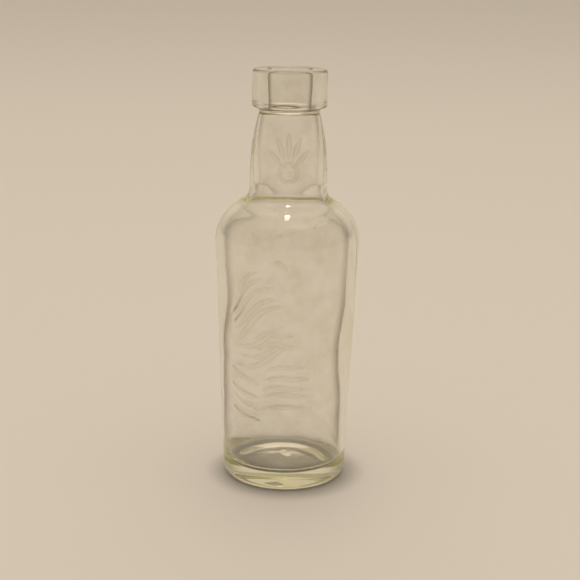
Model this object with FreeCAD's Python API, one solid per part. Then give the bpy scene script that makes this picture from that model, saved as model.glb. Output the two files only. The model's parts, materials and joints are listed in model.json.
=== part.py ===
import FreeCAD, Part

import math
import os

# A small antique glass bottle: a mould-blown body with a long swelling neck, and
# a band of glass fused round the sheared top of the neck to form the mouth.
# Units are millimetres. +Z is up the axis, the origin is the centre of the ring
# that the bottle rests on, and the decorated front faces -Y.

# --- Driving dimensions -------------------------------------------------------

HEIGHT = 145.0            # resting ring to the rim of the mouth
JOINT_Z = 130.6           # where the applied collar is fused to the neck

# Outside of the blown bottle
SHOULDER_R = 9.15         # centre of the shoulder's rounding, from the axis
SHOULDER_Z = 85.4
OUTER_SHOULDER_ROUND = 16.0
OUTER_TAPER = math.radians(2.3)      # the body narrows towards the base
HEEL_ROUND = 3.0
OUTER_FOOT_ROUND = 4.6    # hollow where the shoulder turns up into the neck
OUTER_NECK_R = 13.42      # widest radius of the swelling neck
OUTER_NECK_Z = 107.0
OUTER_NECK_ROUND = 92.0

# Inside of the blown bottle
FLOOR_Z = 6.1             # height of the floor at its edge
FLOOR_RISE = 0.6          # the floor domes up with the push-up below it
INNER_SHOULDER_ROUND = 12.5
INNER_TAPER = math.radians(0.85)
CORNER_ROUND = 3.8
INNER_FOOT_ROUND = 14.0
INNER_NECK_R = 10.9
INNER_NECK_Z = 115.0
INNER_NECK_ROUND = 75.0

# Underside
RESTING_RING_R = 16.3     # inner edge of the flat ring that the bottle rests on
PUSH_UP = 1.8             # height of the shallow hollow under the base

# Applied collar
COLLAR_R = 12.85
COLLAR_EDGE_Z = 132.4     # lower edge of the collar's straight side
COLLAR_UNDERCUT = 0.7     # height of the sloping underside
COLLAR_OVERHANG = 1.95    # width of the sloping underside
BORE_R = 7.5
BORE_FOOT_Z = 131.5       # the bore is straight from here up
RIM_OUTER_ROUND = 1.0
RIM_INNER_ROUND = 0.8

# Raised decoration, pressed out of the same glass by the mould
RELIEF_HEIGHT = 0.35
NECK_RELIEF_HEIGHT = 0.15
SEAM_HEIGHT = 0.10
SEAM_WIDTH = 0.35
RING_Z = 111.4            # the plain ring low on the front of the neck
RING_R = 3.0
RING_BAND = 0.9
LEAF_ANGLES = (-56, -28, 0, 28, 56)  # of the fan of leaves above the ring, in degrees
LEAF_NARROWING = 0.62     # the fan is this much narrower than it is tall
LEAF_REACH = (4.4, 13.5)  # distance of a leaf's two tips from the ring's centre
LEAF_HALF_WIDTH = 0.6
RELIEF_DEPTH_Y = (-30.0, -4.0)       # the stretch of Y that holds the front's relief

# Each family of ribs is a fan: the first rib's two tips as (x, z), how far its
# middle bows out to the left of the way it runs, the step from rib to rib at each
# tip, the number of ribs and the widest half width.
RIB_FAMILIES = [
    ((-9.0, 80.0), (-18.4, 67.0), -2.4, (2.2, -3.0), (0.3, -3.4), 5, 0.75),
    ((-18.4, 53.0), (-1.0, 60.5), -2.6, (0.4, -3.8), (1.2, -3.4), 3, 0.75),
    ((-11.0, 55.5), (3.0, 58.0), 2.2, (1.5, -4.2), (2.0, -5.0), 2, 0.70),
    ((-18.8, 43.5), (-9.5, 39.0), -1.0, (0.3, -4.6), (0.6, -4.6), 4, 0.70),
    ((-7.0, 45.0), (8.0, 45.5), 1.1, (-0.4, -3.6), (0.4, -3.6), 5, 0.65),
    ((-3.8, 91.6), (7.5, 93.6), 0.9, (-1.2, -9.2), (-6.8, -12.6), 2, 0.55),
    ((-11.8, 92.6), (-9.4, 89.2), 0.2, (20.6, 1.6), (21.6, 7.4), 2, 0.50),
]


# --- Geometry helpers ---------------------------------------------------------

def at(r, z):
    """A point of a half section: radius r from the axis, height z."""
    return FreeCAD.Vector(r, 0, z)


def line(a, b):
    return Part.LineSegment(a, b).toShape()


def arc(centre, radius, start, end):
    """An arc of a half section between two angles, measured from the +X side."""
    points = []
    for angle in (start, (start + end) / 2, end):
        points.append(centre + at(radius * math.cos(angle), radius * math.sin(angle)))
    return Part.Arc(*points).toShape()


def angle_to(centre, point):
    return math.atan2(point.z - centre.z, point.x - centre.x)


def circles_meet(a, radius_a, b, radius_b):
    """The crossing of two circles that lies further from the axis."""
    span = b - a
    distance = span.Length
    along = (distance ** 2 + radius_a ** 2 - radius_b ** 2) / (2 * distance)
    across = math.sqrt(radius_a ** 2 - along ** 2)
    direction = span / distance
    normal = at(direction.z, -direction.x)
    if normal.x < 0:
        normal = normal * -1
    return a + direction * along + normal * across


def revolved(edges):
    """A solid of revolution about +Z from the edges of a closed half section."""
    outline = Part.Wire(Part.__sortEdges__(edges))
    return Part.Face(outline).revolve(FreeCAD.Vector(0, 0, 0), FreeCAD.Vector(0, 0, 1), 360)


def bottle_side(floor_z, corner, taper, shoulder, foot, neck_r, neck_z, neck_round, grow=0.0):
    """The edges of one side of the bottle's half section, from floor to neck top.

    They are tangent to each other: a rounded corner, a tapering wall, a round
    shoulder, a hollow foot and a swelling neck. grow moves them all outwards.
    Returns the edges, the radius where the corner leaves the floor, and the
    radius at the top of the neck.
    """
    corner = corner + grow
    shoulder = shoulder + grow
    foot = foot - grow
    neck_centre = at(neck_r - neck_round, neck_z)
    neck_round = neck_round + grow
    shoulder_centre = at(SHOULDER_R, SHOULDER_Z)

    wall_normal = at(math.cos(taper), -math.sin(taper))
    wall_way = at(-math.sin(taper), -math.cos(taper))
    wall_top = shoulder_centre + wall_normal * shoulder
    corner_z = floor_z + corner - grow
    length = (wall_top.z + corner * math.sin(taper) - corner_z) / math.cos(taper)
    wall_foot = wall_top + wall_way * length
    corner_centre = wall_foot - wall_normal * corner

    foot_centre = circles_meet(shoulder_centre, shoulder + foot, neck_centre, neck_round + foot)
    shoulder_end = angle_to(shoulder_centre, foot_centre)
    neck_start = angle_to(neck_centre, foot_centre)
    neck_end = math.asin((JOINT_Z - neck_centre.z) / neck_round)
    neck_top_r = neck_centre.x + neck_round * math.cos(neck_end)

    edges = [
        arc(corner_centre, corner, -math.pi / 2, -taper),
        line(wall_foot, wall_top),
        arc(shoulder_centre, shoulder, -taper, shoulder_end),
        arc(foot_centre, foot, shoulder_end - math.pi, neck_start - math.pi),
        arc(neck_centre, neck_round, neck_start, neck_end),
    ]
    return edges, corner_centre.x, neck_top_r


def outer_body(grow=0.0):
    """The bottle's outside as a full solid, pushed out by grow."""
    side, heel_r, neck_top_r = bottle_side(0.0, HEEL_ROUND, OUTER_TAPER, OUTER_SHOULDER_ROUND,
                                           OUTER_FOOT_ROUND, OUTER_NECK_R, OUTER_NECK_Z,
                                           OUTER_NECK_ROUND, grow)
    edges = side + [
        line(at(heel_r, -grow), at(0, -grow)),
        line(at(0, -grow), at(0, JOINT_Z)),
        line(at(0, JOINT_Z), at(neck_top_r, JOINT_Z)),
    ]
    return revolved(edges)


def cavity():
    """The air inside the bottle, open upwards through the neck."""
    side, corner_r, neck_top_r = bottle_side(FLOOR_Z, CORNER_ROUND, INNER_TAPER,
                                             INNER_SHOULDER_ROUND, INNER_FOOT_ROUND,
                                             INNER_NECK_R, INNER_NECK_Z, INNER_NECK_ROUND)
    dome_round = (corner_r ** 2 + FLOOR_RISE ** 2) / (2 * FLOOR_RISE)
    dome_centre = at(0, FLOOR_Z + FLOOR_RISE - dome_round)
    dome_edge = angle_to(dome_centre, at(corner_r, FLOOR_Z))
    above = JOINT_Z + 1.0
    edges = side + [
        arc(dome_centre, dome_round, dome_edge, math.pi / 2),
        line(at(0, FLOOR_Z + FLOOR_RISE), at(0, above)),
        line(at(0, above), at(neck_top_r, above)),
        line(at(neck_top_r, above), at(neck_top_r, JOINT_Z)),
    ]
    return revolved(edges)


def push_up():
    """The shallow domed hollow under the base."""
    dome_round = (RESTING_RING_R ** 2 + PUSH_UP ** 2) / (2 * PUSH_UP)
    dome = Part.makeSphere(dome_round, FreeCAD.Vector(0, 0, PUSH_UP - dome_round))
    space = Part.makeCylinder(RESTING_RING_R + 1, PUSH_UP + 1, FreeCAD.Vector(0, 0, 0))
    return dome.common(space)


# --- Decoration ---------------------------------------------------------------

def prism(wire):
    """A front-facing outline run through the depth of the front's relief."""
    depth = RELIEF_DEPTH_Y[1] - RELIEF_DEPTH_Y[0]
    wire.translate(FreeCAD.Vector(0, RELIEF_DEPTH_Y[0], 0))
    return Part.Face(wire).extrude(FreeCAD.Vector(0, depth, 0))


def rib(start, end, bow, half_width):
    """A flowing rib between two tips, widest in its middle, as a prism."""
    first = at(*start)
    last = at(*end)
    way = last - first
    sideways = at(-way.z, way.x)
    sideways.normalize()
    steps = 8
    sides = []
    for side in (1, -1):
        points = []
        for step in range(steps + 1):
            t = step / steps
            swell = math.sin(math.pi * t)
            curve = bow * math.sin(math.pi * t) + 0.3 * bow * math.sin(2 * math.pi * t)
            points.append(first + way * t + sideways * (curve + side * half_width * swell))
        spline = Part.BSplineCurve()
        spline.interpolate(points)
        sides.append(spline.toShape())
    return prism(Part.Wire(sides))


def neck_ornament():
    """A plain ring with a fan of narrow leaves above it, as prisms."""
    centre = FreeCAD.Vector(0, RELIEF_DEPTH_Y[0], RING_Z)
    depth = RELIEF_DEPTH_Y[1] - RELIEF_DEPTH_Y[0]
    forward = FreeCAD.Vector(0, 1, 0)
    ring = Part.makeCylinder(RING_R + RING_BAND / 2, depth, centre, forward)
    ring = ring.cut(Part.makeCylinder(RING_R - RING_BAND / 2, depth, centre, forward))
    prisms = [ring]
    for angle in map(math.radians, LEAF_ANGLES):
        tips = []
        for reach in LEAF_REACH:
            tips.append((LEAF_NARROWING * reach * math.sin(angle), RING_Z + reach * math.cos(angle)))
        prisms.append(rib(*tips, 0.0, LEAF_HALF_WIDTH))
    return prisms


def body_ribs():
    """The flowing ribs on the front of the body, as prisms."""
    prisms = []
    for start, end, bow, start_step, end_step, count, half_width in RIB_FAMILIES:
        for index in range(count):
            tip = (start[0] + index * start_step[0], start[1] + index * start_step[1])
            tail = (end[0] + index * end_step[0], end[1] + index * end_step[1])
            prisms.append(rib(tip, tail, bow, half_width))
    return prisms


def mould_seams():
    """The two upright lines left by the halves of the mould, at the bottle's sides."""
    reach = 2 * OUTER_SHOULDER_ROUND
    band = Part.makeBox(2 * reach, SEAM_WIDTH, JOINT_Z - HEEL_ROUND,
                        FreeCAD.Vector(-reach, -SEAM_WIDTH / 2, HEEL_ROUND))
    return outer_body(SEAM_HEIGHT).common(band)


# --- The two pieces -----------------------------------------------------------

def blown_bottle():
    glass = outer_body()
    for height, outlines in ((RELIEF_HEIGHT, body_ribs()), (NECK_RELIEF_HEIGHT, neck_ornament())):
        raised = outer_body(height)
        for outline in outlines:
            glass = glass.fuse(raised.common(outline))
    glass = glass.fuse(mould_seams())
    return glass.cut(cavity()).cut(push_up())


def applied_collar():
    """The tooled mouth: a tall round band with a sloping underside and a straight bore."""
    neck_top_r = bottle_side(0.0, HEEL_ROUND, OUTER_TAPER, OUTER_SHOULDER_ROUND,
                             OUTER_FOOT_ROUND, OUTER_NECK_R, OUTER_NECK_Z, OUTER_NECK_ROUND)[2]
    neck_bore_r = bottle_side(FLOOR_Z, CORNER_ROUND, INNER_TAPER, INNER_SHOULDER_ROUND,
                              INNER_FOOT_ROUND, INNER_NECK_R, INNER_NECK_Z, INNER_NECK_ROUND)[2]
    outer_round_centre = at(COLLAR_R - RIM_OUTER_ROUND, HEIGHT - RIM_OUTER_ROUND)
    inner_round_centre = at(BORE_R + RIM_INNER_ROUND, HEIGHT - RIM_INNER_ROUND)
    underside_r = COLLAR_R - COLLAR_OVERHANG
    corner = [
        at(neck_bore_r, JOINT_Z),
        at(neck_top_r, JOINT_Z),
        at(underside_r, COLLAR_EDGE_Z - COLLAR_UNDERCUT),
        at(COLLAR_R, COLLAR_EDGE_Z),
        at(COLLAR_R, HEIGHT - RIM_OUTER_ROUND),
    ]
    edges = [line(a, b) for a, b in zip(corner, corner[1:])]
    edges += [
        arc(outer_round_centre, RIM_OUTER_ROUND, 0, math.pi / 2),
        line(at(outer_round_centre.x, HEIGHT), at(inner_round_centre.x, HEIGHT)),
        arc(inner_round_centre, RIM_INNER_ROUND, math.pi / 2, math.pi),
        line(at(BORE_R, HEIGHT - RIM_INNER_ROUND), at(BORE_R, BORE_FOOT_Z)),
        line(at(BORE_R, BORE_FOOT_Z), corner[0]),
    ]
    return revolved(edges)


def main():
    pieces = {
        "blown_bottle": blown_bottle(),
        "applied_collar": applied_collar(),
    }
    os.makedirs("parts", exist_ok=True)
    for name, shape in pieces.items():
        solid = shape.Solids[0]
        solid.exportStep("parts/" + name + ".step")
        box = solid.BoundBox
        print(name, "solids", len(shape.Solids), "valid", solid.isValid(),
              "volume_ml", round(solid.Volume / 1000, 2),
              "width", round(box.XLength, 2), "z", round(box.ZMin, 2), round(box.ZMax, 2))
    print("brimful_ml", round(cavity().Volume / 1000, 1))


main()
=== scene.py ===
import json
import math

import bpy
import numpy as np
from mathutils import Matrix, Vector


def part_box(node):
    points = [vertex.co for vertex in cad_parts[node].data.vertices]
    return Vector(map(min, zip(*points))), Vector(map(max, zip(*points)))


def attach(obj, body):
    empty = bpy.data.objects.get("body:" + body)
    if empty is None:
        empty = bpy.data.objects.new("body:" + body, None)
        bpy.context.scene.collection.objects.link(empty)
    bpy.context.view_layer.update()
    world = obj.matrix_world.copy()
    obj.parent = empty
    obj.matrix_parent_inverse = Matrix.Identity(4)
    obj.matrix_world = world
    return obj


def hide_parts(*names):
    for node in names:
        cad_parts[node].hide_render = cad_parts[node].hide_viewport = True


# A small antique glass bottle on a pale floor. Lengths are in metres, apart from those
# of the decoration's strokes, which say mm. +Z is up the bottle's axis and its decorated
# front faces -Y.

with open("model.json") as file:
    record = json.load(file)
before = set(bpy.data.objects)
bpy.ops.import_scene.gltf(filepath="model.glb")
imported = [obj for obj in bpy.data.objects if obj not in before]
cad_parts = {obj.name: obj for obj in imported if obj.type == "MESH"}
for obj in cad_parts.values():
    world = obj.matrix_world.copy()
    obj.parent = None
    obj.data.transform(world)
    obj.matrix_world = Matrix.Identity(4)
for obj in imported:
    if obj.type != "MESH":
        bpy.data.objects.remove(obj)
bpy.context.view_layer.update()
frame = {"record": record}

MM = 0.001

# --- The bottle's dimensions, from the frame and its named sizes ----------------

mounts = {m["name"]: m for m in frame["record"]["mounts"]}
collar_low, collar_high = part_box("applied_collar")

HEIGHT = collar_high.z
JOINT_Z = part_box("blown_bottle")[1].z       # where the collar is fused to the neck
COLLAR_R = (collar_high.y - collar_low.y) / 2
BORE_R = mounts["mouth_bore"]["dims"]["r_mm"] * MM

SHOULDER_R = 9.15 * MM                      # centre of the shoulder's rounding
SHOULDER_Z = 85.4 * MM
OUTSIDE = {
    "floor_z": 0.0,
    "corner": 3.0 * MM,                     # rounding between the floor and the wall
    "taper": math.radians(2.3),
    "shoulder": 16.0 * MM,
    "foot": 4.6 * MM,                       # hollow rounding between shoulder and neck
    "neck_r": 13.42 * MM,                   # the neck at its widest, which is at neck_z
    "neck_z": 107.0 * MM,
    "neck_round": 92.0 * MM,                # radius of the neck's long swelling
}
INSIDE = {
    "floor_z": 6.1 * MM,
    "corner": 3.8 * MM,
    "taper": math.radians(0.85),
    "shoulder": 12.5 * MM,
    "foot": 14.0 * MM,
    "neck_r": 10.9 * MM,
    "neck_z": 115.0 * MM,
    "neck_round": 75.0 * MM,
}
RESTING_RING_R = 16.3 * MM                  # inner edge of the ring that the bottle stands on
PUSH_UP = 1.8 * MM
FLOOR_RISE = 0.6 * MM                       # doming of the floor inside
JOINT_GAP = 0.03 * MM                       # keeps the two glass skins from touching

COLLAR_EDGE_Z = 132.4 * MM                  # lower edge of the collar's upright side
COLLAR_EDGE_BEVEL = 0.25 * MM
COLLAR_UNDERCUT = 0.7 * MM                  # how far the underside's bend lies below that edge
COLLAR_OVERHANG = 1.95 * MM                 # and how far in from it
BORE_FOOT_Z = 131.5 * MM                    # below this the bore widens into the neck
RIM_OUTER_ROUND = 1.0 * MM
RIM_INNER_ROUND = 0.8 * MM

AROUND = 236                                # steps round the axis
STEP = 0.6 * MM                             # spacing along the profile
INNER_STEP = 2 * STEP                       # the same on the bottle's smoother inside
LEAST_ARC_STEPS = 4

# --- Profiles -------------------------------------------------------------------


def arc_points(centre, radius, start, end, step=STEP):
    """Points along an arc of the half section, as (radius, height) rows."""
    count = max(LEAST_ARC_STEPS, int(abs(end - start) * radius / step) + 1)
    angles = np.linspace(start, end, count + 1)
    return np.stack([centre[0] + radius * np.cos(angles), centre[1] + radius * np.sin(angles)], 1)


def line_points(a, b, step=STEP):
    count = max(1, int(math.dist(a, b) / step))
    return np.linspace(a, b, count + 1)


def dome_points(edge_r, edge_z, rise, step=STEP):
    """A shallow dome, from one step off the axis out to its edge."""
    count = int(edge_r / step)
    r = np.linspace(0, edge_r, count + 1)[1:]
    return np.stack([r, edge_z + rise * (1 - (r / edge_r) ** 2)], 1)


def joined(stretches):
    """One run of points from several that share their ends."""
    return np.concatenate([stretches[0]] + [stretch[1:] for stretch in stretches[1:]])


def circles_meet(a, radius_a, b, radius_b):
    """The crossing of two circles that lies to the right of the way from a to b."""
    span = np.subtract(b, a)
    distance = np.hypot(*span)
    along = (distance ** 2 + radius_a ** 2 - radius_b ** 2) / (2 * distance)
    across = math.sqrt(radius_a ** 2 - along ** 2)
    direction = span / distance
    right = np.array([direction[1], -direction[0]])
    return a + direction * along + right * across


def bottle_side(sizes, top_z, step=STEP):
    """One side of the half section, from the floor's edge to the top of the neck."""
    taper = sizes["taper"]
    corner = sizes["corner"]
    shoulder = sizes["shoulder"]
    foot = sizes["foot"]
    neck_round = sizes["neck_round"]
    fine = step / 2
    neck_centre = np.array([sizes["neck_r"] - neck_round, sizes["neck_z"]])
    shoulder_centre = np.array([SHOULDER_R, SHOULDER_Z])
    wall_normal = np.array([math.cos(taper), -math.sin(taper)])
    wall_way = np.array([-math.sin(taper), -math.cos(taper)])
    wall_top = shoulder_centre + wall_normal * shoulder
    length = (wall_top[1] + corner * math.sin(taper) - sizes["floor_z"] - corner) / math.cos(taper)
    wall_foot = wall_top + wall_way * length
    corner_centre = wall_foot - wall_normal * corner
    foot_centre = circles_meet(shoulder_centre, shoulder + foot, neck_centre, neck_round + foot)
    shoulder_end = math.atan2(*(foot_centre - shoulder_centre)[::-1])
    neck_start = math.atan2(*(foot_centre - neck_centre)[::-1])
    neck_end = math.asin((top_z - neck_centre[1]) / neck_round)
    return joined([
        arc_points(corner_centre, corner, -math.pi / 2, -taper, fine),
        line_points(wall_foot, wall_top, step),
        arc_points(shoulder_centre, shoulder, -taper, shoulder_end, step),
        arc_points(foot_centre, foot, shoulder_end - math.pi, neck_start - math.pi, fine),
        arc_points(neck_centre, neck_round, neck_start, neck_end, step),
    ])


def bottle_section():
    """The bottle's half section, from the middle of the push-up round to the middle of the
    floor, with the row where its outside ends and the row where its inside starts."""
    top_z = JOINT_Z - JOINT_GAP
    under = dome_points(RESTING_RING_R, 0.0, PUSH_UP)
    outer = bottle_side(OUTSIDE, top_z)
    inner = bottle_side(INSIDE, top_z, INNER_STEP)
    floor = dome_points(inner[0][0], INSIDE["floor_z"], FLOOR_RISE, INNER_STEP)
    ring = line_points(under[-1], outer[0])
    joint = line_points(outer[-1], inner[-1])
    outside_end = len(under) + len(ring) + len(outer) - 2
    inside_start = outside_end + len(joint) - 1
    return joined([under, ring, outer, joint, inner[::-1], floor[::-1]]), outside_end, inside_start


def collar_section():
    """The collar's closed half section, from the neck's inside along the joint."""
    neck_bore = (bottle_side(INSIDE, JOINT_Z)[-1][0], JOINT_Z + JOINT_GAP)
    neck_side = (bottle_side(OUTSIDE, JOINT_Z)[-1][0], JOINT_Z + JOINT_GAP)
    bend = (COLLAR_R - COLLAR_OVERHANG, COLLAR_EDGE_Z - COLLAR_UNDERCUT)
    below_edge = (COLLAR_R - COLLAR_EDGE_BEVEL, COLLAR_EDGE_Z - COLLAR_EDGE_BEVEL / 2)
    above_edge = (COLLAR_R, COLLAR_EDGE_Z + COLLAR_EDGE_BEVEL)
    outer_centre = (COLLAR_R - RIM_OUTER_ROUND, HEIGHT - RIM_OUTER_ROUND)
    inner_centre = (BORE_R + RIM_INNER_ROUND, HEIGHT - RIM_INNER_ROUND)
    bore_foot = (BORE_R, BORE_FOOT_Z)
    fine = STEP / 2
    return joined([
        line_points(neck_bore, neck_side, fine),
        line_points(neck_side, bend, fine),
        line_points(bend, below_edge, fine),
        line_points(below_edge, above_edge, fine),
        line_points(above_edge, (COLLAR_R, outer_centre[1])),
        arc_points(outer_centre, RIM_OUTER_ROUND, 0, math.pi / 2, fine),
        line_points((outer_centre[0], HEIGHT), (inner_centre[0], HEIGHT)),
        arc_points(inner_centre, RIM_INNER_ROUND, math.pi / 2, math.pi, fine),
        line_points((BORE_R, inner_centre[1]), bore_foot),
        line_points(bore_foot, neck_bore, fine),
    ])[:-1]


def half_normals(points, closed=False):
    """Outward normals of a half section that runs with the glass on its left."""
    if closed:
        ways = np.roll(points, -1, 0) - np.roll(points, 1, 0)
    else:
        ways = np.gradient(points, axis=0)
    ways /= np.linalg.norm(ways, axis=1)[:, None]
    return np.stack([ways[:, 1], -ways[:, 0]], 1)


# --- Gradual changes --------------------------------------------------------------


def smooth_between(value, low, high):
    """0 at low, 1 at high and a smooth change between them."""
    share = np.clip((value - low) / (high - low), 0, 1)
    return share * share * (3 - 2 * share)


def fading(value, start, end):
    """Rises evenly from 0 to 1 over the pair of values start, and falls to 0 over end."""
    rise = (value - start[0]) / (start[1] - start[0])
    fall = (end[1] - value) / (end[1] - end[0])
    return np.clip(rise, 0, 1) * np.clip(fall, 0, 1)


# --- Raised decoration and mould seams ----------------------------------------------

RELIEF_HEIGHT = 0.42 * MM
NECK_RELIEF_HEIGHT = 0.12 * MM
FRONT_Y = -4 * MM                           # the decoration lies in front of this
FRONT_Z = (20 * MM, 128 * MM)               # and between these heights
NECK_FROM_Z = 95 * MM                       # above this, the painted shade on the decoration goes by the neck's relief height
SEAM_HEIGHT = 0.06 * MM
SEAM_HALF_WIDTH = 0.5 * MM
SEAM_START = (3 * MM, 6 * MM)               # heights over which a seam rises out of the wall
SEAM_END = (JOINT_Z - 7 * MM, JOINT_Z - 3 * MM)
RING_Z = 111.4 * MM
RING_R = 3.0 * MM
RING_HALF_WIDTH = 0.8 * MM
LEAF_ANGLES = (-56, -28, 0, 28, 56)         # of the fan of leaves above the ring, in degrees
LEAF_REACH = (4.4, 13.5)                    # an upright leaf's ends above the ring's centre, mm
LEAF_NARROWING = 0.62                       # the fan is this much narrower than it is tall
LEAF_HALF_WIDTH = 1.15                      # mm
LEAF_BLUNTNESS = 0.7                        # power of the leaf's width along its length
LEAF_POINTS = 24
TIP_HALF_WIDTH = 0.05                       # mm, of a stroke at its very ends
STROKE_REACH = 14 * MM                      # no part of a stroke is further from its middle

# Each family of flowing ribs is a fan: the first rib's two tips as (x, z), how far
# its middle bows out, the step from rib to rib at each tip, the number of ribs and
# their half width, in mm.
RIB_FAMILIES = [
    ((-9.0, 80.0), (-18.4, 67.0), -2.4, (2.2, -3.0), (0.3, -3.4), 5, 1.3),
    ((-18.4, 53.0), (-1.0, 60.5), -2.6, (0.4, -3.8), (1.2, -3.4), 3, 1.3),
    ((-11.0, 55.5), (3.0, 58.0), 2.2, (1.5, -4.2), (2.0, -5.0), 2, 1.2),
    ((-18.8, 43.5), (-9.5, 39.0), -1.0, (0.3, -4.6), (0.6, -4.6), 4, 1.2),
    ((-7.0, 45.0), (8.0, 45.5), 1.1, (-0.4, -3.6), (0.4, -3.6), 5, 1.1),
    ((-3.8, 91.6), (7.5, 93.6), 0.9, (-1.2, -9.2), (-6.8, -12.6), 2, 1.2),
    ((-11.8, 92.6), (-9.4, 89.2), 0.2, (20.6, 1.6), (21.6, 7.4), 2, 1.1),
]
RIB_POINTS = 40
RIB_S_BEND = 0.3                            # S-bend on top of a rib's bow, as a share of it
RIB_SCATTER = 0.8                           # how far a rib's tips stray from its fan, mm
RIB_BOWS = (0.6, 1.4)                       # range of the ribs' bows, as shares of the family's
RIB_WIDTHS = (0.7, 1.15)                    # range of their half widths, in the same way
RIB_BLUNTNESS = (0.4, 0.9)                  # range of the power of width along a rib
RIB_SEED = 3


def rib_lines():
    """Each rib as rows of (x, z, half width) along its middle, in metres."""
    t = np.linspace(0, 1, RIB_POINTS)
    swell = np.sin(math.pi * t)
    s_bend = RIB_S_BEND * np.sin(2 * math.pi * t)
    hand = np.random.default_rng(RIB_SEED)
    for start, end, bow, start_step, end_step, count, half_width in RIB_FAMILIES:
        for index in range(count):
            first = np.add(start, np.multiply(start_step, index))
            first = first + hand.uniform(-RIB_SCATTER, RIB_SCATTER, 2)
            last = np.add(end, np.multiply(end_step, index))
            last = last + hand.uniform(-RIB_SCATTER, RIB_SCATTER, 2)
            way = last - first
            sideways = np.array([-way[1], way[0]]) / np.hypot(*way)
            curve = bow * hand.uniform(*RIB_BOWS) * swell + bow * s_bend
            middle = first + way * t[:, None] + sideways * curve[:, None]
            width = half_width * hand.uniform(*RIB_WIDTHS) * swell ** hand.uniform(*RIB_BLUNTNESS)
            yield np.column_stack([middle, width + TIP_HALF_WIDTH]) * MM


def leaf_lines():
    """Each leaf of the fan on the neck, in the same form as a rib."""
    t = np.linspace(0, 1, LEAF_POINTS)
    reach = LEAF_REACH[0] + (LEAF_REACH[1] - LEAF_REACH[0]) * t
    for angle in np.radians(LEAF_ANGLES):
        across = LEAF_NARROWING * reach * np.sin(angle)
        height = RING_Z / MM + reach * np.cos(angle)
        width = LEAF_HALF_WIDTH * np.sin(math.pi * t) ** LEAF_BLUNTNESS
        yield np.column_stack([across, height, width + TIP_HALF_WIDTH]) * MM


def rounded_bump(distance, half_width):
    """1 on the middle line, falling smoothly to 0 at the half width."""
    share = np.clip(1 - (distance / half_width) ** 2, 0, None)
    return share ** 2


def stroke_height(x, z, strokes):
    """1 on the middle of the nearest stroke, 0 beyond its width, at points of the front."""
    best = np.zeros(len(x))
    for stroke in strokes:
        near = np.flatnonzero((np.abs(x - stroke[:, 0].mean()) < STROKE_REACH)
                              & (np.abs(z - stroke[:, 1].mean()) < STROKE_REACH))
        distance = np.hypot(x[near, None] - stroke[None, :, 0], z[near, None] - stroke[None, :, 1])
        bump = rounded_bump(distance, stroke[None, :, 2]).max(1)
        best[near] = np.maximum(best[near], bump)
    return best


def front_relief(points):
    """Height of the raised decoration at points on the outside, in metres."""
    height = np.zeros(len(points))
    x, y, z = points.T
    front = np.flatnonzero((y < FRONT_Y) & (z > FRONT_Z[0]) & (z < FRONT_Z[1]))
    x, z = x[front], z[front]
    ring = rounded_bump(np.hypot(x, z - RING_Z) - RING_R, RING_HALF_WIDTH)
    neck = np.maximum(stroke_height(x, z, leaf_lines()), ring)
    height[front] = RELIEF_HEIGHT * stroke_height(x, z, rib_lines()) + NECK_RELIEF_HEIGHT * neck
    return height


def mould_seams(points):
    """Height of the two seams that run up the bottle's sides and stop below the collar."""
    y, z = points[:, 1], points[:, 2]
    return SEAM_HEIGHT * rounded_bump(y, SEAM_HALF_WIDTH) * fading(z, SEAM_START, SEAM_END)


# --- Unevenness of the hand-made skins ------------------------------------------------

WAVE_SEED = 7
WAVES = np.random.default_rng(WAVE_SEED)    # both pieces draw their waves from here in turn
MOST_LOBES = 5                              # of a wave, counted round the axis
OUTER_WAVES = 0.02 * MM                     # size of the waves on each skin
INNER_WAVES = 0.10 * MM
COLLAR_WAVES = 0.06 * MM
OUTER_WAVE_COUNT = 9
INNER_WAVE_COUNT = 7
COLLAR_WAVE_COUNT = 7
BOTTLE_WAVE_RISE = 28.0                     # most turns that a wave makes per metre of height
COLLAR_WAVE_RISE = 60.0
OUTER_WAVE_START = (1 * MM, 5 * MM)         # heights over which the waves set in and die out
OUTER_WAVE_END = (JOINT_Z - 7 * MM, JOINT_Z - 2 * MM)
INNER_WAVE_START = (5 * MM, 11 * MM)
INNER_WAVE_END = (JOINT_Z - 8 * MM, JOINT_Z)
COLLAR_WAVE_START = (JOINT_Z + 1 * MM, JOINT_Z + 3 * MM)
COLLAR_WAVE_END = (HEIGHT - 1 * MM, HEIGHT)

AIR_SHIFT = 1.25 * MM                       # how far left the air stands low on the body
AIR_SHIFT_Z = (67 * MM, 46 * MM)            # heights over which it moves there, going down
AIR_RETURN = 0.3 * MM                       # how much of that it has lost at the floor
AIR_RETURN_Z = (40 * MM, 26 * MM)
WAIST = 0.3 * MM                            # extra wall where the glass was slow to blow out
WAIST_Z = 42 * MM
WAIST_REACH = 9 * MM


def slow_waves(angle, z, count, size, rise):
    """A sum of slow waves round and up the glass, as hand work leaves them."""
    total = np.zeros_like(angle)
    for _ in range(count):
        lobes = WAVES.integers(1, MOST_LOBES + 1)
        slope = WAVES.uniform(-1, 1) * rise * 2 * math.pi
        phase = WAVES.uniform(0, 2 * math.pi)
        total += np.sin(lobes * angle + slope * z + phase) / math.sqrt(count)
    return size * total


def air_centre(z):
    """Where the middle of the air inside lies along x, by height."""
    shifted = AIR_SHIFT * smooth_between(z, *AIR_SHIFT_Z)
    returned = AIR_RETURN * smooth_between(z, *AIR_RETURN_Z)
    return returned - shifted


def waist(z):
    """How much thicker the whole wall is low on the body."""
    return WAIST * np.exp(-((z - WAIST_Z) / WAIST_REACH) ** 2)


def outer_lift(place, angle):
    """How far the outside stands out from its plain shape, decoration apart."""
    z = place[:, 2]
    waves = slow_waves(angle, z, OUTER_WAVE_COUNT, OUTER_WAVES, BOTTLE_WAVE_RISE)
    return mould_seams(place) + waves * fading(z, OUTER_WAVE_START, OUTER_WAVE_END)


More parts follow.
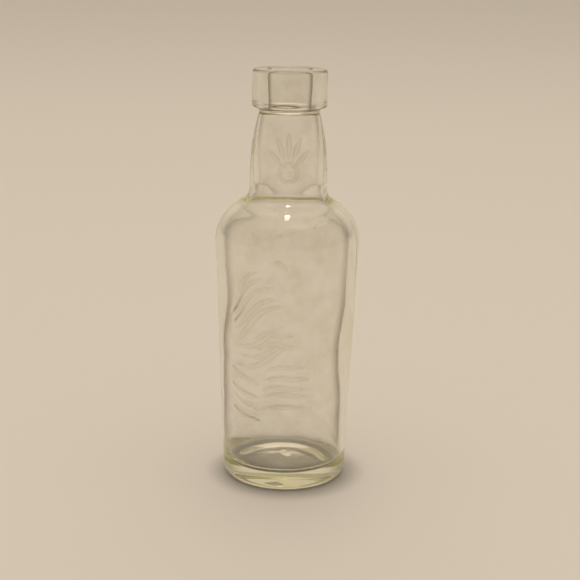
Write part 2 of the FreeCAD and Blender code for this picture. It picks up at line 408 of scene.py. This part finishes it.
def inner_lift(place, angle):
    """How far the inside stands in from its plain shape, towards the axis."""
    z = place[:, 2]
    waves = slow_waves(angle, z, INNER_WAVE_COUNT, INNER_WAVES, BOTTLE_WAVE_RISE)
    thicker = waves + waist(z) - air_centre(z) * np.cos(angle)
    return thicker * fading(z, INNER_WAVE_START, INNER_WAVE_END)


def collar_lift(place, angle):
    """How far the collar's skin stands out from its plain shape."""
    z = place[:, 2]
    waves = slow_waves(angle, z, COLLAR_WAVE_COUNT, COLLAR_WAVES, COLLAR_WAVE_RISE)
    return waves * fading(z, COLLAR_WAVE_START, COLLAR_WAVE_END)


# --- Painted shade, stored on the meshes for the materials ---------------------------

# The shares of the painted shade inside, which darkens glass seen edge-on, that are missing
# high up, in the neck and on the floor, and the heights over which that changes.
UPPER_SHADE_CUT = 0.30
UPPER_SHADE_CUT_Z = (55 * MM, 78 * MM)
NECK_SHADE_CUT = 0.45
NECK_SHADE_CUT_START = (86 * MM, 94 * MM)
NECK_SHADE_CUT_END = (123 * MM, 117 * MM)
FLOOR_SHADE_CUT = 0.9
FLOOR_SHADE_CUT_Z = (11 * MM, 7.5 * MM)

BODY_RELIEF_SHADE = 0.65                            # painted shade along the body's ribs, as a share of the neck's
SIDE_SHADE_CUT = 0.65                           # share of it that is missing towards the sides
SIDE_SHADE_CUT_X = (0.60, 0.88)                 # x over radius, where that starts and is complete

BORE_MARGIN = 0.3 * MM                      # the painted edge shade of the bore reaches this far round its ends
LEDGE_INSET = 1.0 * MM                      # the ledge below the bore ends this far in from the bend
LEDGE_MARGIN = 0.2 * MM
UNDERSIDE_MARGIN = 0.4 * MM
RIM_EDGE_SHADE = 0.6                              # painted edge shade on the rim, as a share of the bore's
RIM_EDGE_SHADE_DEPTH = 0.9 * MM
LIP_SHADE = 0.45                             # painted shade round the rim's edges, as a share of the ledge's
LIP_SHADE_DEPTHS = (0.05 * MM, 0.75 * MM)


def edge_shade_by_height(z):
    """How strong the painted shade on the inside is, by height."""
    upper = smooth_between(z, *UPPER_SHADE_CUT_Z)
    in_neck = smooth_between(z, *NECK_SHADE_CUT_START) * smooth_between(z, *NECK_SHADE_CUT_END)
    on_floor = smooth_between(z, *FLOOR_SHADE_CUT_Z)
    return 1 - UPPER_SHADE_CUT * upper - NECK_SHADE_CUT * in_neck - FLOOR_SHADE_CUT * on_floor


def relief_slope_shade(place, relief):
    """Painted shade on the decoration's slopes: most halfway up it, none at its foot or top."""
    x, y, z = place.T
    on_neck = z > NECK_FROM_Z
    share = relief / np.where(on_neck, NECK_RELIEF_HEIGHT, RELIEF_HEIGHT)
    across = np.abs(x) / np.maximum(np.hypot(x, y), MM)
    amount = np.where(on_neck, 1, BODY_RELIEF_SHADE) * (1 - SIDE_SHADE_CUT * smooth_between(across, *SIDE_SHADE_CUT_X))
    return 4 * share * (1 - share) * amount


def collar_painted_shade(r, z):
    """Painted shade at points of the collar's half section: edge-on shade, and the darkened ledge and
    rim edges.
    """
    bore = r < BORE_R + BORE_MARGIN
    ledge = (r < COLLAR_R - COLLAR_OVERHANG - LEDGE_INSET) & (z < BORE_FOOT_Z + LEDGE_MARGIN)
    ledge &= z > JOINT_Z + JOINT_GAP
    underside = r > COLLAR_R - COLLAR_OVERHANG - UNDERSIDE_MARGIN
    underside &= z < COLLAR_EDGE_Z + UNDERSIDE_MARGIN
    rim = z > HEIGHT - RIM_EDGE_SHADE_DEPTH
    lip = (z < HEIGHT - LIP_SHADE_DEPTHS[0]) & (z > HEIGHT - LIP_SHADE_DEPTHS[1])
    return np.maximum(bore | ledge | underside, RIM_EDGE_SHADE * rim), np.maximum(ledge, LIP_SHADE * lip)


# --- Meshes -----------------------------------------------------------------------


def ring_grid(points):
    """Every vertex of the half section turned round the axis: its place, angle and row."""
    angle = np.tile(np.linspace(0, 2 * math.pi, AROUND, endpoint=False) - math.pi / 2, len(points))
    row = np.repeat(np.arange(len(points)), AROUND)
    r, z = points[row].T
    return np.stack([r * np.cos(angle), r * np.sin(angle), z], 1), angle, row


def lifted(place, angle, normals, height):
    """The vertices, each moved by its height along its normal in the half section."""
    out = np.stack([normals[:, 0] * np.cos(angle), normals[:, 0] * np.sin(angle), normals[:, 1]], 1)
    return place + out * height[:, None]


def grid_faces(count, closed):
    """Quads between neighbouring rings, with their normals out of the glass."""
    rings = np.arange(count if closed else count - 1)
    turns = np.arange(AROUND)
    ring, turn = [a.ravel() for a in np.meshgrid(rings, turns, indexing="ij")]
    above = (ring + 1) % count
    ahead = (turn + 1) % AROUND
    return np.stack([ring * AROUND + turn, ring * AROUND + ahead,
                     above * AROUND + ahead, above * AROUND + turn], 1).tolist()


def make_mesh(name, vertices, faces):
    mesh = bpy.data.meshes.new(name)
    mesh.from_pydata(vertices.tolist(), [], faces)
    mesh.validate()
    mesh.update()
    mesh.polygons.foreach_set("use_smooth", [True] * len(mesh.polygons))
    piece = bpy.data.objects.new(name, mesh)
    bpy.context.scene.collection.objects.link(piece)
    return piece


def mark(piece, name, values):
    """Stores a number for each vertex, which the piece's material reads by name."""
    layer = piece.data.attributes.new(name, "FLOAT", "POINT")
    layer.data.foreach_set("value", values.astype(float).tolist())


def build_bottle():
    rows, outside_end, inside_start = bottle_section()
    place, angle, row = ring_grid(rows)
    outside = row < outside_end
    inside = row >= inside_start
    relief = np.where(outside, front_relief(place), 0)
    height = relief + np.where(outside, outer_lift(place, angle), 0)
    height += np.where(inside, inner_lift(place, angle), 0)
    vertices = lifted(place, angle, half_normals(rows)[row], height)
    faces = grid_faces(len(rows), False)

    # One vertex on the axis closes the underside, and another the floor inside.
    base_pole = len(vertices)
    floor_pole = base_pole + 1
    vertices = np.vstack([vertices, [0, 0, PUSH_UP], [0, 0, INSIDE["floor_z"] + FLOOR_RISE]])
    last_row = (len(rows) - 1) * AROUND
    for turn in range(AROUND):
        ahead = (turn + 1) % AROUND
        faces.append([base_pole, ahead, turn])
        faces.append([floor_pole, last_row + turn, last_row + ahead])

    piece = make_mesh("bottle_glass", vertices, faces)
    # Painted shade: the inside darkens where it is seen edge-on, and the decoration's slopes darken.
    edge_shade = np.where(inside, edge_shade_by_height(place[:, 2]), 0)
    mark(piece, "painted_edge_shade", np.append(edge_shade, [0, edge_shade[-1]]))
    mark(piece, "painted_mark_shade", np.append(relief_slope_shade(place, relief), [0, 0]))
    return piece


def build_collar():
    rows = collar_section()
    place, angle, row = ring_grid(rows)
    vertices = lifted(place, angle, half_normals(rows, True)[row], collar_lift(place, angle))
    piece = make_mesh("collar_glass", vertices, grid_faces(len(rows), True))
    # Painted shade on the bore, ledge, underside and the rim's edges.
    edge_shade, mark_shade = collar_painted_shade(*rows.T)
    mark(piece, "painted_edge_shade", np.repeat(edge_shade, AROUND))
    mark(piece, "painted_mark_shade", np.repeat(mark_shade, AROUND))
    return piece


# --- Materials --------------------------------------------------------------------

GLASS_IOR = 1.52
GLASS_TINT = (0.86, 0.87, 0.44, 1.0)        # yellow-green, seen where the glass is deep
HAZE_SCALE = 55.0                           # noise scales are per metre
HAZE_DETAIL = 5.0
HAZE_SPREAD = (0.52, 0.75)                  # noise values where the haze starts and is complete
HAZE_ROUGHNESS = 0.10
RIPPLE_SCALE = 160.0
RIPPLE_DETAIL = 2.0
RIPPLE_STRENGTH = 0.06
RIPPLE_HEIGHT = 0.4 * MM
GRIME_SCALE = 130.0
GRIME_DETAIL = 6.0
GRIME_ROUGHNESS = 0.65
GRIME_SPREAD = (0.44, 0.68)                 # noise values where the grime starts and is complete
CLEAN_COLOUR = (0.97, 0.965, 0.95, 1.0)
GRIME_COLOUR = (0.89, 0.87, 0.82, 1.0)
EDGE_SHADE_SPREAD = 0.35                          # the slant from the painted edge shade's first sign to all of it
MIX_A, MIX_B, MIX_RESULT = 6, 7, 2          # the colour sockets of a Mix node

BOTTLE_LOOK = {
    "grain": 1.0,                           # fineness of haze, ripple and grime
    "tint_density": 12.0,
    # Painted shade: the first tint darkens glass seen edge-on, the last darkens marked slopes and
    # edges.
    "edge_shade_tint": (0.10, 0.07, 0.03, 1.0),
    "edge_shade_from": 0.46,                      # slant at which the painted edge shade first shows
    "mark_shade_tint": (0.74, 0.70, 0.61, 1.0),
}
COLLAR_LOOK = {
    "grain": 1.4,
    "tint_density": 7.0,
    # Painted shade: the first tint darkens glass seen edge-on, the last darkens marked slopes and
    # edges.
    "edge_shade_tint": (0.12, 0.08, 0.04, 1.0),
    "edge_shade_from": 0.34,
    "mark_shade_tint": (0.24, 0.19, 0.13, 1.0),
}


def add_node(tree, kind, **settings):
    node = tree.nodes.new(kind)
    for key, value in settings.items():
        setattr(node, key, value)
    return node


def ramp(tree, value, low, high, from_value, to_value, curve="SMOOTHSTEP"):
    """A change between two values as another goes from low to high."""
    node = add_node(tree, "ShaderNodeMapRange", interpolation_type=curve)
    node.inputs["From Min"].default_value = low
    node.inputs["From Max"].default_value = high
    node.inputs["To Min"].default_value = from_value
    node.inputs["To Max"].default_value = to_value
    tree.links.new(value, node.inputs["Value"])
    return node.outputs["Result"]


def combine(tree, operation, *values):
    node = add_node(tree, "ShaderNodeMath", operation=operation)
    for socket, value in zip(node.inputs, values):
        if isinstance(value, (int, float)):
            socket.default_value = value
        else:
            tree.links.new(value, socket)
    return node.outputs["Value"]


def noise(tree, place, scale, detail, roughness=0.5):
    node = add_node(tree, "ShaderNodeTexNoise")
    node.inputs["Scale"].default_value = scale
    node.inputs["Detail"].default_value = detail
    node.inputs["Roughness"].default_value = roughness
    tree.links.new(place, node.inputs["Vector"])
    return node.outputs["Fac"]


def tinted(tree, colour, tint, share):
    """A colour, multiplied by a tint as far as share says."""
    node = add_node(tree, "ShaderNodeMix", data_type="RGBA", blend_type="MULTIPLY")
    tree.links.new(share, node.inputs["Factor"])
    tree.links.new(colour, node.inputs[MIX_A])
    node.inputs[MIX_B].default_value = tint
    return node.outputs[MIX_RESULT]


def haze(tree, place, grain):
    """Roughness: faint patches of wear on clear glass."""
    patches = noise(tree, place, HAZE_SCALE * grain, HAZE_DETAIL)
    return ramp(tree, patches, *HAZE_SPREAD, 0.0, HAZE_ROUGHNESS, "LINEAR")


def ripple(tree, place, grain):
    """The normals of a skin that isn't quite smooth."""
    bump = add_node(tree, "ShaderNodeBump")
    bump.inputs["Strength"].default_value = RIPPLE_STRENGTH
    bump.inputs["Distance"].default_value = RIPPLE_HEIGHT
    tree.links.new(noise(tree, place, RIPPLE_SCALE * grain, RIPPLE_DETAIL), bump.inputs["Height"])
    return bump.outputs["Normal"]


def grime(tree, place, grain):
    """The skin's colour, mottled by thin grime."""
    mottle = add_node(tree, "ShaderNodeValToRGB")
    clean, dirty = mottle.color_ramp.elements
    clean.position, dirty.position = GRIME_SPREAD
    clean.color = CLEAN_COLOUR
    dirty.color = GRIME_COLOUR
    patches = noise(tree, place, GRIME_SCALE * grain, GRIME_DETAIL, GRIME_ROUGHNESS)
    tree.links.new(patches, mottle.inputs["Fac"])
    return mottle.outputs["Color"]


def visible_edge_shade(tree, edge_shade_from):
    """How much of the marked painted shade shows: it darkens skin that is seen along its length."""
    slant = add_node(tree, "ShaderNodeLayerWeight").outputs["Facing"]
    seen_along = ramp(tree, slant, edge_shade_from, edge_shade_from + EDGE_SHADE_SPREAD, 0.0, 1.0)
    marked = add_node(tree, "ShaderNodeAttribute", attribute_name="painted_edge_shade").outputs["Fac"]
    return combine(tree, "MULTIPLY", seen_along, marked)


def old_glass(name, look):
    """Clear hand-made glass: faint haze, ripple and grime on the skin, painted shade on glass seen
    edge-on and on marked slopes and edges, tint in its depth.
    """
    material = bpy.data.materials.new(name)
    material.use_nodes = True
    tree = material.node_tree
    tree.nodes.clear()
    output = add_node(tree, "ShaderNodeOutputMaterial")
    glass = add_node(tree, "ShaderNodeBsdfPrincipled")
    glass.inputs["Transmission Weight"].default_value = 1.0
    glass.inputs["IOR"].default_value = GLASS_IOR
    tree.links.new(glass.outputs["BSDF"], output.inputs["Surface"])

    place = add_node(tree, "ShaderNodeTexCoord").outputs["Object"]
    tree.links.new(haze(tree, place, look["grain"]), glass.inputs["Roughness"])
    tree.links.new(ripple(tree, place, look["grain"]), glass.inputs["Normal"])
    skin = grime(tree, place, look["grain"])
    # Painted shade: glass seen edge-on and the marked slopes and edges are darkened in the colour.
    edge_shaded = tinted(tree, skin, look["edge_shade_tint"], visible_edge_shade(tree, look["edge_shade_from"]))
    mark_shade = add_node(tree, "ShaderNodeAttribute", attribute_name="painted_mark_shade").outputs["Fac"]
    tree.links.new(tinted(tree, edge_shaded, look["mark_shade_tint"], mark_shade), glass.inputs["Base Color"])

    depth = add_node(tree, "ShaderNodeVolumeAbsorption")
    depth.inputs["Color"].default_value = GLASS_TINT
    depth.inputs["Density"].default_value = look["tint_density"]
    tree.links.new(depth.outputs["Volume"], output.inputs["Volume"])
    return material


def finish_piece(piece, node, material):
    piece.data.materials.append(material)
    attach(piece, "root")
    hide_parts(node)


# --- Camera -----------------------------------------------------------------------

CAMERA_DISTANCE = 0.455
CAMERA_HEIGHT = 0.1871
CAMERA_PITCH = math.radians(14.73)          # downwards
CAMERA_YAW = math.radians(0.15)
CAMERA_ROLL = math.radians(0.973)
CAMERA_LENS = 82.7                          # mm, as is the sensor
CAMERA_SENSOR = 36.0
CAMERA_CLIP = (0.01, 50.0)


def add_camera():
    forward = Vector((math.sin(CAMERA_YAW) * math.cos(CAMERA_PITCH),
                      math.cos(CAMERA_YAW) * math.cos(CAMERA_PITCH),
                      -math.sin(CAMERA_PITCH)))
    level = forward.cross(Vector((0, 0, 1))).normalized()
    upright = level.cross(forward)
    right = level * math.cos(CAMERA_ROLL) + upright * math.sin(CAMERA_ROLL)
    top = upright * math.cos(CAMERA_ROLL) - level * math.sin(CAMERA_ROLL)
    turn = Matrix((right, top, -forward)).transposed().to_4x4()
    data = bpy.data.cameras.new("camera")
    data.lens = CAMERA_LENS
    data.sensor_width = CAMERA_SENSOR
    data.clip_start, data.clip_end = CAMERA_CLIP
    camera = bpy.data.objects.new("camera", data)
    camera.matrix_world = Matrix.Translation((0, -CAMERA_DISTANCE, CAMERA_HEIGHT)) @ turn
    bpy.context.scene.collection.objects.link(camera)
    bpy.context.scene.camera = camera


# --- Floor and light ----------------------------------------------------------------

FLOOR_REACH = 30.0
FLOOR_Z = -0.1 * MM                         # clear of the glass that stands on it
FLOOR_COLOUR = (0.75, 0.74, 0.73, 1.0)
FLOOR_ROUGHNESS = 0.6
KEY_WIDTH = 0.24
KEY_POWER = 17.0
KEY_COLOUR = (1.0, 0.87, 0.70)
KEY_PLACE = (-0.02, 0.0, 2.6)
STUDIO_WARMTH = (1.0, 0.85, 0.67, 1.0)
STUDIO_BEHIND = 0.68                        # glow of the room behind the bottle
STUDIO_FRONT = 0.38                         # the same on the decorated side
STUDIO_SIDES = 0.34                         # the same to the left and right
STUDIO_TOP = 1.00                           # overhead
STUDIO_TURN = (0.55, 0.95)                  # Y of a level way, over which the sides' glow ends
STUDIO_RISE = (0.70, 0.92)                  # Z of any way, over which the walls' glow ends
WAY_LENGTH = 1.0001                         # a little over 1, so that straight up has a heading too
MOST_BOUNCES = 128


def add_floor():
    mesh = bpy.data.meshes.new("floor")
    square = [(-1, -1), (1, -1), (1, 1), (-1, 1)]
    corners = [(x * FLOOR_REACH, y * FLOOR_REACH, FLOOR_Z) for x, y in square]
    mesh.from_pydata(corners, [], [(0, 1, 2, 3)])
    floor = bpy.data.objects.new("floor", mesh)
    bpy.context.scene.collection.objects.link(floor)
    material = bpy.data.materials.new("pale_floor")
    material.use_nodes = True
    shader = material.node_tree.nodes["Principled BSDF"]
    shader.inputs["Base Color"].default_value = FLOOR_COLOUR
    shader.inputs["Roughness"].default_value = FLOOR_ROUGHNESS
    mesh.materials.append(material)


def add_key_light():
    """A small lamp straight overhead, which leaves the round highlights."""
    data = bpy.data.lights.new("overhead_key", "AREA")
    data.shape = "DISK"
    data.size = KEY_WIDTH
    data.energy = KEY_POWER
    data.color = KEY_COLOUR
    lamp = bpy.data.objects.new("overhead_key", data)
    lamp.location = KEY_PLACE
    bpy.context.scene.collection.objects.link(lamp)


def add_studio():
    """A plain soft room: bright behind the bottle, dimmer elsewhere, and a soft glow overhead."""
    world = bpy.data.worlds.new("studio")
    bpy.context.scene.world = world
    world.use_nodes = True
    tree = world.node_tree
    way = add_node(tree, "ShaderNodeSeparateXYZ")
    tree.links.new(add_node(tree, "ShaderNodeTexCoord").outputs["Generated"], way.inputs["Vector"])
    steepness = combine(tree, "POWER", way.outputs["Z"], 2.0)
    level = combine(tree, "SQRT", combine(tree, "SUBTRACT", WAY_LENGTH, steepness))
    facing = combine(tree, "DIVIDE", way.outputs["Y"], level)
    turned, square = STUDIO_TURN
    front = ramp(tree, facing, -square, -turned, STUDIO_FRONT, STUDIO_SIDES)
    behind = ramp(tree, facing, turned, square, 0.0, STUDIO_BEHIND - STUDIO_SIDES)
    walls = combine(tree, "ADD", front, behind)
    height = ramp(tree, way.outputs["Z"], *STUDIO_RISE, 0.0, 1.0)
    low = combine(tree, "MULTIPLY", walls, combine(tree, "SUBTRACT", 1.0, height))
    overhead = combine(tree, "MULTIPLY", STUDIO_TOP, height)
    background = tree.nodes["Background"]
    background.inputs["Color"].default_value = STUDIO_WARMTH
    tree.links.new(combine(tree, "ADD", low, overhead), background.inputs["Strength"])


def allow_many_bounces():
    """Light runs along inside the glass and crosses many skins."""
    cycles = bpy.context.scene.cycles
    cycles.max_bounces = MOST_BOUNCES
    cycles.transmission_bounces = MOST_BOUNCES
    cycles.glossy_bounces = MOST_BOUNCES


# --- The scene --------------------------------------------------------------------

bottle = build_bottle()
collar = build_collar()
finish_piece(bottle, "blown_bottle", old_glass("old_bottle_glass", BOTTLE_LOOK))
finish_piece(collar, "applied_collar", old_glass("old_collar_glass", COLLAR_LOOK))
add_floor()
add_key_light()
add_studio()
add_camera()
allow_many_bounces()
bpy.context.scene.view_settings.view_transform = "Standard"
